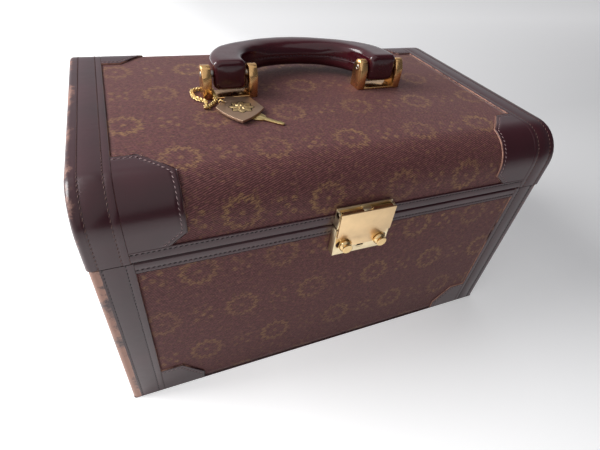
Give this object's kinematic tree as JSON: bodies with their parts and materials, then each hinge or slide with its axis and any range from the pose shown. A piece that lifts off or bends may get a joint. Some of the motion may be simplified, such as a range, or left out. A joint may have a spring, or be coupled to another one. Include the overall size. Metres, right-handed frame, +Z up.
{
  "type": "vanity case",
  "caption": "Hard-sided vanity case with a rounded hinged lid, folding top handle, drop hasp lock, lift-out tray and mirror.",
  "frame": {"origin": "middle of the underside, on the surface that the case stands on", "axes": "+X to the case's right seen from the lock side, -Y towards the lock, +Z up"},
  "size_m": [0.32, 0.222, 0.2052],
  "materials": {
    "wood": "bare plywood",
    "cloth": "woven twill with a small woven motif",
    "leather": "glazed, stitched",
    "handle_leather": "glossy, padded",
    "lining": "plain lining cloth over board",
    "glass_mirror": "silvered glass",
    "brass": "polished and brushed",
    "steel": "plain",
    "bronze": "aged bronze"
  },
  "bodies": {
    "base": {"bottom_cover": "leather", "base_floor": "wood", "base_front_panel": "wood", "base_back_panel": "wood", "base_left_panel": "wood", "base_right_panel": "wood", "base_cloth": "cloth", "base_end_cloth": "cloth", "base_left_band": "leather", "base_right_band": "leather", "base_rim_strips": "leather", "base_corner_patches": "leather", "base_lining": "lining", "floor_pad": "lining", "tray_ledges": "wood", "base_hinge_leaves": "brass", "hinge_pins": "steel", "base_hinge_rivets": "brass", "lock_case": "brass"},
    "tray": {"tray_floor": "wood", "tray_walls": "lining", "tray_dividers": "lining", "tray_pads": "lining", "tray_tabs": "leather"},
    "lid": {"lid_left_panel": "wood", "lid_right_panel": "wood", "lid_front_rail": "wood", "lid_back_rail": "wood", "lid_top_panel": "wood", "lid_cloth": "cloth", "lid_end_cloth": "cloth", "lid_left_band": "leather", "lid_right_band": "leather", "lid_rim_strips": "leather", "lid_corner_patches": "leather", "lid_lining": "lining", "lid_end_lining": "lining", "mirror_backing": "wood", "mirror": "glass_mirror", "mirror_frame": "brass", "lid_hinge_leaves": "brass", "lid_hinge_rivets": "brass", "handle_bracket_left": "brass", "handle_bracket_right": "brass", "bracket_screws": "steel", "handle_pins": "steel", "hasp_bracket": "brass", "hasp_pin": "steel", "tag_chain": "brass"},
    "handle": {"handle_core": "steel", "handle_grip": "handle_leather"},
    "hasp": {"hasp": "brass"},
    "knob_left": {"lock_knob_left": "brass"},
    "knob_right": {"lock_knob_right": "brass"},
    "key_barrel": {"key_barrel": "brass"},
    "tag": {"shield_tag": "bronze", "tag_ring": "brass", "luggage_key": "brass"}
  },
  "joints": [
    {"name": "lid_hinge", "type": "hinge", "parent": "base", "child": "lid", "pos_m": [0, 0.1056, 0.137], "axis": [-1, 0, 0], "range_deg": [0, 100]},
    {"name": "tray_lift", "type": "slide", "parent": "base", "child": "tray", "axis": [0, 0, 1], "range_m": [0, 0.024]},
    {"name": "handle_swing", "type": "hinge", "parent": "lid", "child": "handle", "pos_m": [0, 0, 0.1954], "axis": [1, 0, 0], "range_deg": [0, 91]},
    {"name": "hasp_swing", "type": "hinge", "parent": "lid", "child": "hasp", "pos_m": [0, -0.1066, 0.1475], "axis": [-1, 0, 0], "range_deg": [0, 90]},
    {"name": "knob_left_slide", "type": "slide", "parent": "base", "child": "knob_left", "axis": [-1, 0, 0], "range_m": [0, 0.003], "stiffness_N_per_m": 200},
    {"name": "knob_right_slide", "type": "slide", "parent": "base", "child": "knob_right", "axis": [1, 0, 0], "range_m": [0, 0.003], "stiffness_N_per_m": 200},
    {"name": "key_barrel_turn", "type": "hinge", "parent": "base", "child": "key_barrel", "pos_m": [0, -0.105, 0.1212], "axis": [0, -1, 0], "range_deg": [0, 90]},
    {"name": "tag_swing", "type": "hinge", "parent": "lid", "child": "tag", "pos_m": [-0.06, -0.0085, 0.181], "axis": [-1, 0, 0], "range_deg": [0, 50]}
  ]
}
